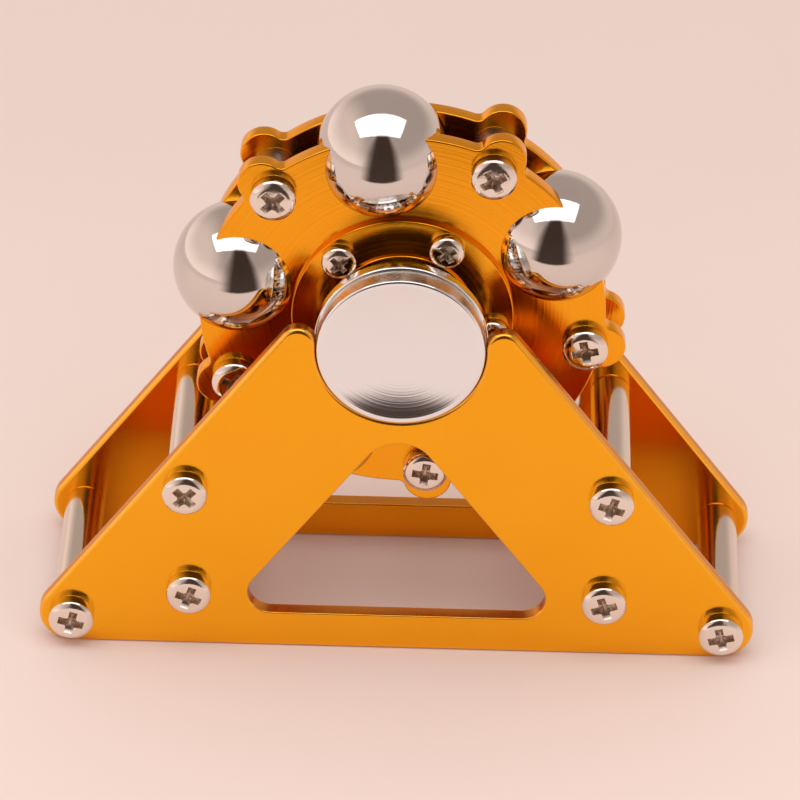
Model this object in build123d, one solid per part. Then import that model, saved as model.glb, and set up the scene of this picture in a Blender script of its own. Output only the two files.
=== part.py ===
from build123d import *
import os
from math import asin, atan2, cos, degrees, hypot, radians, sin

# A desk gyroscope on its stand. Millimetres and degrees.
# Every piece is drawn in the front view: x to the right, y up, z towards the viewer,
# with the origin on the ground, midway between the stand's plates.
# save() turns the pieces to the stand's own frame, where +Z is up and the front faces -Y.

# ---------------------------------------------------------------- stand: plates
plate_thickness = 2.0
plate_gap = 22.0  # between the plates' inner faces
plate_edge_break = 0.3
foot_spread = 40.0  # from the middle to the centre of a round foot
foot_radius = 4.0
horn_rise = 2.7  # of the horns' tops above the wheel's axis
horn_radius = 2.14
limb_width = 18.45  # between the window's slanted side and the plate's
window_floor = 5.0  # height of the bar under the window
window_corner_radius = 3.0
window_peak_radius = 4.6

# ---------------------------------------------------------------- stand: spacers and screws
spacer_radius = 2.5
spacer_edge_break = 0.25
upper_spacer_height = 23.0
inner_spacer_height = 8.2
inner_spacer_x = 25.5

m3_thread_radius = 1.5
m3_head_radius = 2.75
m3_head_height = 1.95
m3_head_corner = 0.8  # radius of the head's round edge
m3_recess_length = 3.5
m3_recess_width = 0.9
m3_recess_depth = 1.0
m3_hole_clearance = 0.1  # on the radius
thread_clearance = 0.03  # on the radius
thread_tip_break = 0.3
stand_screw_reach = 4.0  # of the thread inside a spacer
drill_overrun = 1.0  # of a blind threaded hole past the screw's tip
stand_recess_turns = (-15, 14, 45, -17, -20, 18)  # outer, upper and inner, left and right

# ---------------------------------------------------------------- caps and axle
axis_height = 43.8
cap_spigot_radius = 10.1
cap_seat_clearance = 0.1  # between the spigot and the notch
cap_proud = 0.3  # of the spigot's face past the plate
cap_rim_width = 0.7
cap_dish_depth = 1.1
cap_edge_break = 0.15
cap_flange_lip = 0.35  # of the flange past the spigot
cap_flange_thickness = 1.8
cap_flange_edge_break = 0.3
cap_side_play = 0.15  # between the flange and the plate
cap_neck_radius = 5.0
stub_clearance = 0.02  # between the stub axle and the bearing's bore
stub_end_gap = 0.3  # between the two stub axles
stud_length = 9.0
stud_socket_width = 1.5  # across the flats
stud_socket_depth = 2.0
spacer_ring_length = 1.5
spacer_ring_radius = 4.1

# ---------------------------------------------------------------- ball bearing, quarter inch bore
bearing_bore_radius = 3.175
bearing_outer_radius = 6.35
bearing_width = 4.7625
bearing_ball_radius = 0.79375
bearing_ball_count = 10
bearing_shoulder_drop = 0.5  # from the ball circle to either ring's shoulder
groove_clearance = 0.02
ring_edge_break = 0.2
cage_shoulder_clearance = 0.1
cage_pocket_clearance = 0.045
cage_side_wall = 0.25
shield_thickness = 0.2
shield_inset = 0.1  # below the bearing's face
shield_seat_width = 0.35  # of the step in the outer ring under the shield's edge
shield_clearance = 0.02

# ---------------------------------------------------------------- wheel
wheel_count = 5  # balls, lobes and posts
wheel_phase = 98.0  # of the first ball, anticlockwise from x
ball_radius = 7.9375  # a five-eighths inch ball
ball_circle_radius = 20.3
ball_seat_clearance = 0.02
wheel_plate_thickness = 2.0
wheel_disc_radius = 24.5
lobe_radius = 2.9
lobe_fillet = 1.0
wheel_edge_break = 0.2
bearing_end_play = 0.02
bearing_lip = 0.65  # of the plate over the bearing's outer ring
bearing_seat_clearance = 0.01
post_radius = 2.5
post_circle_radius = 22.5
wheel_screw_reach = 2.0  # of a thread inside a post or the hub ring
wheel_recess_turn = 37.0  # each screw of a ring stopped this much further round

hub_cover_radius = 13.4
hub_cover_thickness = 0.8
hub_boss_radius = 8.8
hub_boss_height = 0.4
hub_cover_edge_break = 0.15
hub_bore_clearance = 0.6  # around the cap's neck
hub_ring_radius = 14.0
hub_ring_ball_clearance = 0.3
hub_screw_circle_radius = 11.1
hub_thread_radius = 1.0
hub_head_radius = 2.1
hub_head_height = 1.6
hub_head_corner = 0.6
hub_recess_length = 2.4
hub_recess_width = 0.6
hub_recess_depth = 0.8
hub_hole_clearance = 0.1

# ---------------------------------------------------------------- worked out
plate_inner_z = plate_gap / 2
plate_outer_z = plate_inner_z + plate_thickness
seat_radius = cap_spigot_radius + cap_seat_clearance
horn_x = seat_radius + horn_radius
horn_y = axis_height + horn_rise - horn_radius
foot_to_horn = hypot(foot_spread - horn_x, horn_y - foot_radius)
centre_slope = atan2(horn_y - foot_radius, foot_spread - horn_x)
side_slope = centre_slope + asin((horn_radius - foot_radius) / foot_to_horn)
slope_across = sin(side_slope)
slope_up = cos(side_slope)
side_turn = 90 - degrees(side_slope)  # from x to the slanted side's outward normal
side_offset = slope_across * foot_spread + slope_up * foot_radius + foot_radius
window_offset = side_offset - limb_width
upper_spacer_x = (side_offset - foot_radius - slope_up * upper_spacer_height) / slope_across
spacer_places = {
    "outer": (foot_spread, foot_radius),
    "upper": (upper_spacer_x, upper_spacer_height),
    "inner": (inner_spacer_x, inner_spacer_height),
}

wheel_inner_z = bearing_width / 2 + bearing_end_play
wheel_outer_z = wheel_inner_z + wheel_plate_thickness
cover_outer_z = wheel_outer_z + hub_cover_thickness
wheel_pitch = 360 / wheel_count
wheel_bore_radius = bearing_outer_radius - bearing_lip
ball_circle_angle = [wheel_phase + wheel_pitch * k for k in range(wheel_count)]
lobe_circle_angle = [angle + wheel_pitch / 2 for angle in ball_circle_angle]

flange_outer_z = plate_inner_z - cap_side_play
flange_inner_z = flange_outer_z - cap_flange_thickness
neck_end_z = bearing_width / 2 + spacer_ring_length
bearing_circle_radius = (bearing_bore_radius + bearing_outer_radius) / 2


def turned(points):
    """A solid of revolution about z, from (radius, z) points."""
    profile = Plane.XZ * Polyline(*points, close=True)
    return revolve(make_face(profile), Axis.Z)


def polar(radius, angle, z=0.0):
    """The place at a radius and angle about the wheel's axis."""
    return Pos(radius * cos(radians(angle)), radius * sin(radians(angle)), z)


def on_axis(piece):
    """Lift a piece drawn about z up to the wheel's axis."""
    return Pos(0, axis_height, 0) * piece


def save(name, pieces):
    """Turn the pieces to the stand's frame and write them as one node."""
    placed = [Rot(90, 0, 0) * piece for piece in pieces]
    solids = [solid for piece in placed for solid in piece.solids()]
    shape = solids[0] if len(solids) == 1 else Compound(solids)
    export_step(shape, f"parts/{name}.step")


def end_edges(piece):
    """The edges of a piece's two end faces."""
    groups = piece.edges().group_by(Axis.Z)
    return groups[0] + groups[-1]


def pan_screw(thread_radius, thread_length, head_size, recess_size):
    """A pan head screw with its seat at z = 0, its head up and a cross recess."""
    radius, height, corner = head_size
    length, width, depth = recess_size
    head = Pos(0, 0, height / 2) * Cylinder(radius, height)
    head = fillet(head.edges().group_by(Axis.Z)[-1], corner)
    shank = turned(
        [
            (0, 0),
            (thread_radius, 0),
            (thread_radius, thread_tip_break - thread_length),
            (thread_radius - thread_tip_break, -thread_length),
            (0, -thread_length),
        ]
    )
    slot = Pos(0, 0, height) * Box(length, width, 2 * depth)
    tip = Pos(0, 0, height - depth / 2) * Cone(width / 4, width, depth)
    return head + shank - slot - Rot(0, 0, 90) * slot - tip


def m3_screw(thread_length, turn):
    """An M3 screw with its recess turned by an angle."""
    head_size = (m3_head_radius, m3_head_height, m3_head_corner)
    recess_size = (m3_recess_length, m3_recess_width, m3_recess_depth)
    return Rot(0, 0, turn) * pan_screw(m3_thread_radius, thread_length, head_size, recess_size)


def hub_screw(thread_length, turn):
    """A small hub screw with its recess turned by an angle."""
    head_size = (hub_head_radius, hub_head_height, hub_head_corner)
    recess_size = (hub_recess_length, hub_recess_width, hub_recess_depth)
    return Rot(0, 0, turn) * pan_screw(hub_thread_radius, thread_length, head_size, recess_size)


# ---------------------------------------------------------------- stand
def plate_outline():
    """The plate's outer line: feet, slanted sides, horns and the half-round notch."""
    foot_end = (foot_spread + foot_radius * slope_across, foot_radius + foot_radius * slope_up)
    horn_start = (horn_x + horn_radius * slope_across, horn_y + horn_radius * slope_up)
    half = [
        Line((0, 0), (foot_spread, 0)),
        CenterArc((foot_spread, foot_radius), foot_radius, -90, 90 + side_turn),
        Line(foot_end, horn_start),
        CenterArc((horn_x, horn_y), horn_radius, side_turn, 180 - side_turn),
        Line((seat_radius, horn_y), (seat_radius, axis_height)),
        CenterArc((0, axis_height), seat_radius, -90, 90),
    ]
    return Curve() + half + [mirror(edge, about=Plane.YZ) for edge in half]


def window_outline():
    """The window's line: a triangle with round corners, its sides along the plate's."""
    corner_y = window_floor + window_corner_radius
    corner_x = (window_offset - window_corner_radius - slope_up * corner_y) / slope_across
    peak_y = (window_offset - window_peak_radius) / slope_up
    corner_end = (
        corner_x + window_corner_radius * slope_across,
        corner_y + window_corner_radius * slope_up,
    )
    peak_start = (window_peak_radius * slope_across, peak_y + window_peak_radius * slope_up)
    half = [
        Line((0, window_floor), (corner_x, window_floor)),
        CenterArc((corner_x, corner_y), window_corner_radius, -90, 90 + side_turn),
        Line(corner_end, peak_start),
        CenterArc((0, peak_y), window_peak_radius, side_turn, 90 - side_turn),
    ]
    return Curve() + half + [mirror(edge, about=Plane.YZ) for edge in half]


def spacer_centres():
    """Name and centre of each spacer, left and right."""
    return [
        (f"{row}_{hand}", sign * x, y)
        for row, (x, y) in spacer_places.items()
        for hand, sign in (("left", -1), ("right", 1))
    ]


def stand_plate():
    """The front plate; the back one is its mirror image."""
    face = make_face(plate_outline()) - make_face(window_outline())
    plate = Pos(0, 0, plate_inner_z) * extrude(face, plate_thickness)
    plate = chamfer(end_edges(plate), plate_edge_break)
    hole_radius = m3_thread_radius + m3_hole_clearance
    middle_z = plate_inner_z + plate_thickness / 2
    for _, x, y in spacer_centres():
        plate -= Pos(x, y, middle_z) * Cylinder(hole_radius, 2 * plate_thickness)
    return plate


def stand_spacer():
    """A round spacer with a blind threaded hole in each end."""
    bar = Cylinder(spacer_radius, plate_gap)
    bar = chamfer(end_edges(bar), spacer_edge_break)
    depth = stand_screw_reach + drill_overrun
    drill = Cylinder(m3_thread_radius + thread_clearance, depth)
    hole = Pos(0, 0, (plate_gap - depth) / 2) * drill
    return bar - hole - mirror(hole, about=Plane.XY)


def make_stand():
    """Write the plates, spacers and screws of the stand."""
    plate = stand_plate()
    save("front_plate", [plate])
    save("back_plate", [mirror(plate, about=Plane.XY)])
    spacer = stand_spacer()
    thread_length = plate_thickness + stand_screw_reach
    screws = []
    for (name, x, y), turn in zip(spacer_centres(), stand_recess_turns):
        save(f"spacer_{name}", [Pos(x, y, 0) * spacer])
        screws.append(Pos(x, y, plate_outer_z) * m3_screw(thread_length, turn))
    save("stand_screws_front", screws)
    save("stand_screws_back", [mirror(screw, about=Plane.XY) for screw in screws])


# ---------------------------------------------------------------- axle
def finger_cap():
    """The front cap: dished face, spigot, flange, neck and stub axle, with a threaded bore."""
    face_z = plate_outer_z + cap_proud
    flange_radius = cap_spigot_radius + cap_flange_lip
    stub_radius = bearing_bore_radius - stub_clearance
    body = turned(
        [
            (0, stub_end_gap / 2),
            (stub_radius, stub_end_gap / 2),
            (stub_radius, neck_end_z),
            (cap_neck_radius, neck_end_z),
            (cap_neck_radius, flange_inner_z),
            (flange_radius - cap_flange_edge_break, flange_inner_z),
            (flange_radius, flange_inner_z + cap_flange_edge_break),
            (flange_radius, flange_outer_z - cap_flange_edge_break / 2),
            (flange_radius - cap_flange_edge_break / 2, flange_outer_z),
            (cap_spigot_radius, flange_outer_z),
            (cap_spigot_radius, face_z - cap_edge_break),
            (cap_spigot_radius - cap_edge_break, face_z),
            (0, face_z),
        ]
    )
    dish_radius = cap_spigot_radius - cap_rim_width
    bowl_radius = (dish_radius**2 + cap_dish_depth**2) / (2 * cap_dish_depth)
    bowl = Pos(0, 0, face_z - cap_dish_depth + bowl_radius) * Sphere(bowl_radius)
    bore_depth = stud_length / 2 + drill_overrun
    bore = Cylinder(m3_thread_radius + thread_clearance, 2 * bore_depth)
    return body - bowl - bore


def cap_stud():
    """The threaded stud that draws the two caps together, with a hex socket."""
    rod = Cylinder(m3_thread_radius, stud_length)
    rod = chamfer(end_edges(rod), thread_tip_break)
    hexagon = RegularPolygon(stud_socket_width / 2, 6, major_radius=False)
    socket = Pos(0, 0, stud_length / 2 - stud_socket_depth) * extrude(hexagon, stud_socket_depth)
    return rod - socket


def spacer_ring():
    """The front ring between the cap's neck and the bearing's inner ring."""
    start_z = bearing_width / 2
    return turned(
        [
            (bearing_bore_radius, start_z),
            (spacer_ring_radius, start_z),
            (spacer_ring_radius, neck_end_z),
            (bearing_bore_radius, neck_end_z),
        ]
    )


def make_axle():
    """Write the caps, stud and spacer rings."""
    cap = finger_cap()
    ring = spacer_ring()
    save("front_cap", [on_axis(cap)])
    save("back_cap", [on_axis(mirror(cap, about=Plane.XY))])
    save("cap_stud", [on_axis(cap_stud())])
    save("spacer_ring_front", [on_axis(ring)])
    save("spacer_ring_back", [on_axis(mirror(ring, about=Plane.XY))])


# ---------------------------------------------------------------- bearing
def bearing_ring(bore_radius, outer_radius):
    """A plain ring of the bearing's width with broken outer and bore edges."""
    half = bearing_width / 2
    cut = ring_edge_break
    return turned(
        [
            (bore_radius + cut, -half),
            (outer_radius - cut, -half),
            (outer_radius, cut - half),
            (outer_radius, half - cut),
            (outer_radius - cut, half),
            (bore_radius + cut, half),
            (bore_radius, half - cut),
            (bore_radius, cut - half),
        ]
    )


def ball_groove():
    """The ring-shaped space that the bearing balls run in, with their clearance."""
    return Torus(bearing_circle_radius, bearing_ball_radius + groove_clearance)


def inner_ring():
    """The bearing's inner ring with its groove."""
    shoulder_radius = bearing_circle_radius - bearing_shoulder_drop
    return bearing_ring(bearing_bore_radius, shoulder_radius) - ball_groove()


def outer_ring():
    """The bearing's outer ring with its groove and a step in each face for a shield."""
    shoulder_radius = bearing_circle_radius + bearing_shoulder_drop
    ring = bearing_ring(shoulder_radius, bearing_outer_radius) - ball_groove()
    step_depth = shield_thickness + shield_inset
    step = Cylinder(shoulder_radius + shield_seat_width, step_depth)
    step = Pos(0, 0, (bearing_width - step_depth) / 2) * step
    return ring - step - mirror(step, about=Plane.XY)


def bearing_shield():
    """The front shield, seated in the outer ring's step and clear of the inner ring."""
    back_z = bearing_width / 2 - shield_inset - shield_thickness
    front_z = bearing_width / 2 - shield_inset
    hole_radius = bearing_circle_radius - bearing_shoulder_drop + cage_shoulder_clearance
    edge_radius = bearing_circle_radius + bearing_shoulder_drop + shield_seat_width - shield_clearance
    return turned(
        [
            (hole_radius, back_z),
            (edge_radius, back_z),
            (edge_radius, front_z),
            (hole_radius, front_z),
        ]
    )


def bearing_ball_places():
    """The bearing balls' places about the axis."""
    step = 360 / bearing_ball_count
    return [polar(bearing_circle_radius, step * k) for k in range(bearing_ball_count)]


def bearing_cage():
    """A ring between the shoulders with a round hole drilled through for each ball."""
    pocket_radius = bearing_ball_radius + cage_pocket_clearance
    reach = bearing_shoulder_drop - cage_shoulder_clearance
    half = pocket_radius + cage_side_wall
    low = bearing_circle_radius - reach
    high = bearing_circle_radius + reach
    cage = turned([(low, -half), (high, -half), (high, half), (low, half)])
    step = 360 / bearing_ball_count
    drill = Rot(0, 90, 0) * Cylinder(pocket_radius, bearing_circle_radius)
    drill = Pos(bearing_circle_radius, 0, 0) * drill
    for number in range(bearing_ball_count):
        cage -= Rot(0, 0, step * number) * drill
    return cage


def make_bearing():
    """Write the bearing's rings, shields, cage and balls."""
    shield = bearing_shield()
    balls = [place * Sphere(bearing_ball_radius) for place in bearing_ball_places()]
    save("bearing_inner_ring", [on_axis(inner_ring())])
    save("bearing_outer_ring", [on_axis(outer_ring())])
    save("bearing_shield_front", [on_axis(shield)])
    save("bearing_shield_back", [on_axis(mirror(shield, about=Plane.XY))])
    save("bearing_cage", [on_axis(bearing_cage())])
    save("bearing_balls", [on_axis(ball) for ball in balls])


# ---------------------------------------------------------------- wheel
def wheel_plate():
    """The front wheel plate: a lobed disc with ball seats and screw holes."""
    outline = Circle(wheel_disc_radius)
    for angle in lobe_circle_angle:
        outline += polar(wheel_disc_radius, angle) * Circle(lobe_radius)
    outline = fillet(outline.vertices(), lobe_fillet)
    plate = Pos(0, 0, wheel_inner_z) * extrude(outline, wheel_plate_thickness)
    plate = chamfer(end_edges(plate), wheel_edge_break)
    middle_z = wheel_inner_z + wheel_plate_thickness / 2
    depth = 2 * wheel_plate_thickness
    post_hole = Cylinder(m3_thread_radius + m3_hole_clearance, depth)
    hub_hole = Cylinder(hub_thread_radius + hub_hole_clearance, depth)
    plate -= Pos(0, 0, middle_z) * Cylinder(wheel_bore_radius, depth)
    for angle in ball_circle_angle:
        plate -= polar(ball_circle_radius, angle) * Sphere(ball_radius + ball_seat_clearance)
    for angle in lobe_circle_angle:
        plate -= polar(post_circle_radius, angle, middle_z) * post_hole
        plate -= polar(hub_screw_circle_radius, angle, middle_z) * hub_hole
    return plate


def hub_cover():
    """The front hub cover: a thin disc with a low boss, a bore and screw holes."""
    edge = hub_cover_edge_break
    bore_radius = cap_neck_radius + hub_bore_clearance
    boss_z = cover_outer_z + hub_boss_height
    cover = turned(
        [
            (bore_radius, wheel_outer_z),
            (hub_cover_radius, wheel_outer_z),
            (hub_cover_radius, cover_outer_z - edge),
            (hub_cover_radius - edge, cover_outer_z),
            (hub_boss_radius, cover_outer_z),
            (hub_boss_radius, boss_z - edge),
            (hub_boss_radius - edge, boss_z),
            (bore_radius + edge, boss_z),
            (bore_radius, boss_z - edge),
        ]
    )
    hole = Cylinder(hub_thread_radius + hub_hole_clearance, 2 * hub_cover_thickness)
    middle_z = wheel_outer_z + hub_cover_thickness / 2
    for angle in lobe_circle_angle:
        cover -= polar(hub_screw_circle_radius, angle, middle_z) * hole
    return cover


def hub_ring():
    """The ring between the wheel plates that holds the bearing's outer ring."""
    height = 2 * wheel_inner_z
    ball_space = Sphere(ball_radius + hub_ring_ball_clearance)
    hole = Cylinder(hub_thread_radius + thread_clearance, height)
    ring = Cylinder(hub_ring_radius, height)
    ring -= Cylinder(bearing_outer_radius + bearing_seat_clearance, height)
    for angle in ball_circle_angle:
        ring -= polar(ball_circle_radius, angle) * ball_space
    for angle in lobe_circle_angle:
        ring -= polar(hub_screw_circle_radius, angle) * hole
    return ring


def wheel_post():
    """A round post between the wheel plates, threaded right through."""
    height = 2 * wheel_inner_z
    return Cylinder(post_radius, height) - Cylinder(m3_thread_radius + thread_clearance, height)


def make_wheel():
    """Write the wheel's plates, covers, hub ring, posts, balls and screws."""
    plate = wheel_plate()
    cover = hub_cover()
    save("wheel_plate_front", [on_axis(plate)])
    save("wheel_plate_back", [on_axis(mirror(plate, about=Plane.XY))])
    save("hub_cover_front", [on_axis(cover)])
    save("hub_cover_back", [on_axis(mirror(cover, about=Plane.XY))])
    save("hub_ring", [on_axis(hub_ring())])

    post = wheel_post()
    post_screw_length = wheel_plate_thickness + wheel_screw_reach
    hub_screw_length = hub_cover_thickness + wheel_plate_thickness + wheel_screw_reach
    post_screws = []
    hub_screws = []
    for number in range(wheel_count):
        ball_place = polar(ball_circle_radius, ball_circle_angle[number])
        save(f"weight_ball_{number + 1}", [on_axis(ball_place * Sphere(ball_radius))])
        angle = lobe_circle_angle[number]
        save(f"wheel_post_{number + 1}", [on_axis(polar(post_circle_radius, angle) * post)])
        turn = angle + wheel_recess_turn * number
        post_seat = polar(post_circle_radius, angle, wheel_outer_z)
        hub_seat = polar(hub_screw_circle_radius, angle, cover_outer_z)
        post_screws.append(on_axis(post_seat * m3_screw(post_screw_length, turn)))
        hub_screws.append(on_axis(hub_seat * hub_screw(hub_screw_length, turn)))
    save("post_screws_front", post_screws)
    save("post_screws_back", [mirror(screw, about=Plane.XY) for screw in post_screws])
    save("hub_screws_front", hub_screws)
    save("hub_screws_back", [mirror(screw, about=Plane.XY) for screw in hub_screws])


os.makedirs("parts", exist_ok=True)
make_stand()
make_axle()
make_bearing()
make_wheel()
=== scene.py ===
import logging
from dataclasses import dataclass, field, replace
from enum import Enum
from math import acos, asin, atan2, cos, degrees, hypot, pi, radians, sin, sqrt

import bmesh
import bpy
import numpy as np
from mathutils import Matrix, Vector, geometry


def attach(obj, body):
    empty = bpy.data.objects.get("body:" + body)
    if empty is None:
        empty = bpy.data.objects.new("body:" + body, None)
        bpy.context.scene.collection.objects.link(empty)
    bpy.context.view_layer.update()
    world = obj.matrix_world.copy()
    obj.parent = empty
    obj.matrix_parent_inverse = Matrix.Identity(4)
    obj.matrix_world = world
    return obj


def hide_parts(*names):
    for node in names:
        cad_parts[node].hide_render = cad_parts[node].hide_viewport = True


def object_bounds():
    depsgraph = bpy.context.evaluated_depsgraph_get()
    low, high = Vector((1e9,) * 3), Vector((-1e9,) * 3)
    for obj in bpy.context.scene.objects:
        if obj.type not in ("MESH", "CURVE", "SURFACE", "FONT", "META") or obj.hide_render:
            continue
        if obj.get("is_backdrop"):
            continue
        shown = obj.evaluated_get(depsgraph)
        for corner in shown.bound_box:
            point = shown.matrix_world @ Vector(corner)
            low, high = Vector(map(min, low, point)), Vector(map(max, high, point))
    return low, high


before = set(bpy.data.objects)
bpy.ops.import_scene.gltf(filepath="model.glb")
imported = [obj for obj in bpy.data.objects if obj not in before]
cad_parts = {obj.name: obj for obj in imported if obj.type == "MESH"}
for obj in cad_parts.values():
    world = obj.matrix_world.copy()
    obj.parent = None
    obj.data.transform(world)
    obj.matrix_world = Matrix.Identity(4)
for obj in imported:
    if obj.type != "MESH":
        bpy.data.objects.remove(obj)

LOG = logging.getLogger("gyroscope")
MM = 0.001
AXIS_HEIGHT = 43.8  # of the wheel's axis above the ground, in millimetres
CORNER_CHORDS = 6  # chords in each round corner of a profile
SUPPORT = 0.03  # millimetres from a round corner's end to the point that keeps the next run flat
MERGE_DISTANCE = 2e-7  # metres within which two vertices are one
SHARP_ANGLE = 30.0  # degrees between two faces from which their edge is shaded sharp
HOLE_POINTS = 48  # points round a screw hole
BORE_POINTS = 120  # points round the wheel's bore and the hub covers
# Numbered sockets of the Mix node, whose names repeat.
COLOUR_A, COLOUR_B, COLOUR_OUT = 6, 7, 2
VALUE_A, VALUE_B = 2, 3


# ---------------------------------------------------------------- arrays and skins
def arc(centre: tuple[float, float], radius: float, start: float, end: float, count: int) -> np.ndarray:
    """Points on a circle: centre + radius (cos a, sin a), with a going evenly from start to end.

    Args:
        centre: The circle's centre.
        radius: Its radius.
        start: First angle in degrees.
        end: Last angle in degrees.
        count: Number of points, both ends included.

    Returns:
        An array of (count, 2) points.
    """
    turn = np.radians(np.linspace(start, end, count))
    return np.column_stack((centre[0] + radius * np.cos(turn), centre[1] + radius * np.sin(turn)))


def circle(centre: tuple[float, float], radius: float, count: int) -> np.ndarray:
    """A closed loop of evenly spaced points on a circle, the first of them at angle 0.

    Args:
        centre: The circle's centre.
        radius: Its radius.
        count: Number of points.

    Returns:
        An array of (count, 2) points, anticlockwise.
    """
    return arc(centre, radius, 0, 360 - 360 / count, count)


def at_height(loop: np.ndarray, height: float) -> np.ndarray:
    """The (x, y) points of a loop as (x, y, height) points."""
    return np.column_stack((loop, np.full(len(loop), height)))


def rounded_edge(top: float, bottom: float, radius: float, points: int) -> tuple[np.ndarray, np.ndarray]:
    """The edge of a sheet with a quarter round at each face.

    At angle b of a round the edge lies radius * (1 - sin b) inside the outline and
    radius * (1 - cos b) from the face.

    Args:
        top: Height of the upper face.
        bottom: Height of the lower face.
        radius: Radius of the rounds.
        points: Number of points on each round.

    Returns:
        The inset and the height of each ring of the edge, from the upper face down.
    """
    bend = np.radians(np.linspace(0, 90, points))
    inset, drop = radius * (1 - np.sin(bend)), radius * (1 - np.cos(bend))
    return np.concatenate((inset, inset[::-1])), np.concatenate((top - drop, (bottom + drop)[::-1]))


def rounded_profile(corners: list[tuple[float, float, float]]) -> np.ndarray:
    """A broken line with round corners.

    A corner with a radius becomes the arc that touches both of its runs: it starts at
    radius * tan(half the turn) from the corner and its points swing evenly about the arc's centre.
    A point just outside each end of the arc keeps the flat runs flat when they are shaded.

    Args:
        corners: (x, y, corner radius) along the line.

    Returns:
        An array of (n, 2) points.
    """
    places = np.array([corner[:2] for corner in corners], float)
    out = [places[:1]]
    for index in range(1, len(corners) - 1):
        corner, radius = places[index], corners[index][2]
        back, ahead = places[index - 1] - corner, places[index + 1] - corner
        if radius <= 0:
            out.append(corner[None, :])
            continue
        back, ahead = back / np.linalg.norm(back), ahead / np.linalg.norm(ahead)
        half = np.arccos(np.clip(back @ ahead, -1, 1)) / 2
        reach = radius / np.tan(half)
        middle = corner + (back + ahead) / np.linalg.norm(back + ahead) * radius / np.sin(half)
        first, last = corner + back * reach - middle, corner + ahead * reach - middle
        swing = np.linspace(0, 1, CORNER_CHORDS + 1)[:, None]
        angle = pi - 2 * half
        blend = (np.sin((1 - swing) * angle) * first + np.sin(swing * angle) * last) / np.sin(angle)
        out.append((corner + back * (reach + SUPPORT))[None, :])
        out.append(middle + blend)
        out.append((corner + ahead * (reach + SUPPORT))[None, :])
    out.append(places[-1:])
    return np.vstack(out)


def grid_faces(rows: int, columns: int) -> np.ndarray:
    """Quads of a grid that closes round its columns: (i, j) to (i, j+1), (i+1, j+1), (i+1, j).

    Args:
        rows: Number of rows.
        columns: Number of columns; the last meets the first.

    Returns:
        An array of ((rows - 1) * columns, 4) vertex numbers.
    """
    row = np.arange(rows - 1)[:, None] * columns
    column = np.arange(columns)[None, :]
    after = (column + 1) % columns
    quads = np.stack((row + column, row + after, row + columns + after, row + columns + column), axis=-1)
    return quads.reshape(-1, 4)


def inside(points: np.ndarray, loops: list[np.ndarray]) -> np.ndarray:
    """Whether each point is in the sheet.

    It is if a line from it to the right crosses the loops an odd number of times.

    Args:
        points: (n, 2) points to test.
        loops: Closed loops of (m, 2) points, the outer one and its holes.

    Returns:
        An array of n truth values.
    """
    crossings = np.zeros(len(points), int)
    for loop in loops:
        a, b = loop, np.roll(loop, -1, axis=0)
        y = points[:, 1][:, None]
        spans = (a[:, 1] > y) != (b[:, 1] > y)
        rise = np.where(b[:, 1] == a[:, 1], 1.0, b[:, 1] - a[:, 1])
        x = a[:, 0] + (y - a[:, 1]) / rise * (b[:, 0] - a[:, 0])
        crossings += (spans & (x > points[:, 0][:, None])).sum(1)
    return crossings % 2 == 1


def add_object(name: str, data: bpy.types.ID) -> bpy.types.Object:
    """Make an object of a mesh, a light or a camera, and link it to the scene.

    Args:
        name: Name of the object.
        data: What it shows.

    Returns:
        The new object.
    """
    piece = bpy.data.objects.new(name, data)
    bpy.context.scene.collection.objects.link(piece)
    return piece


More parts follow.
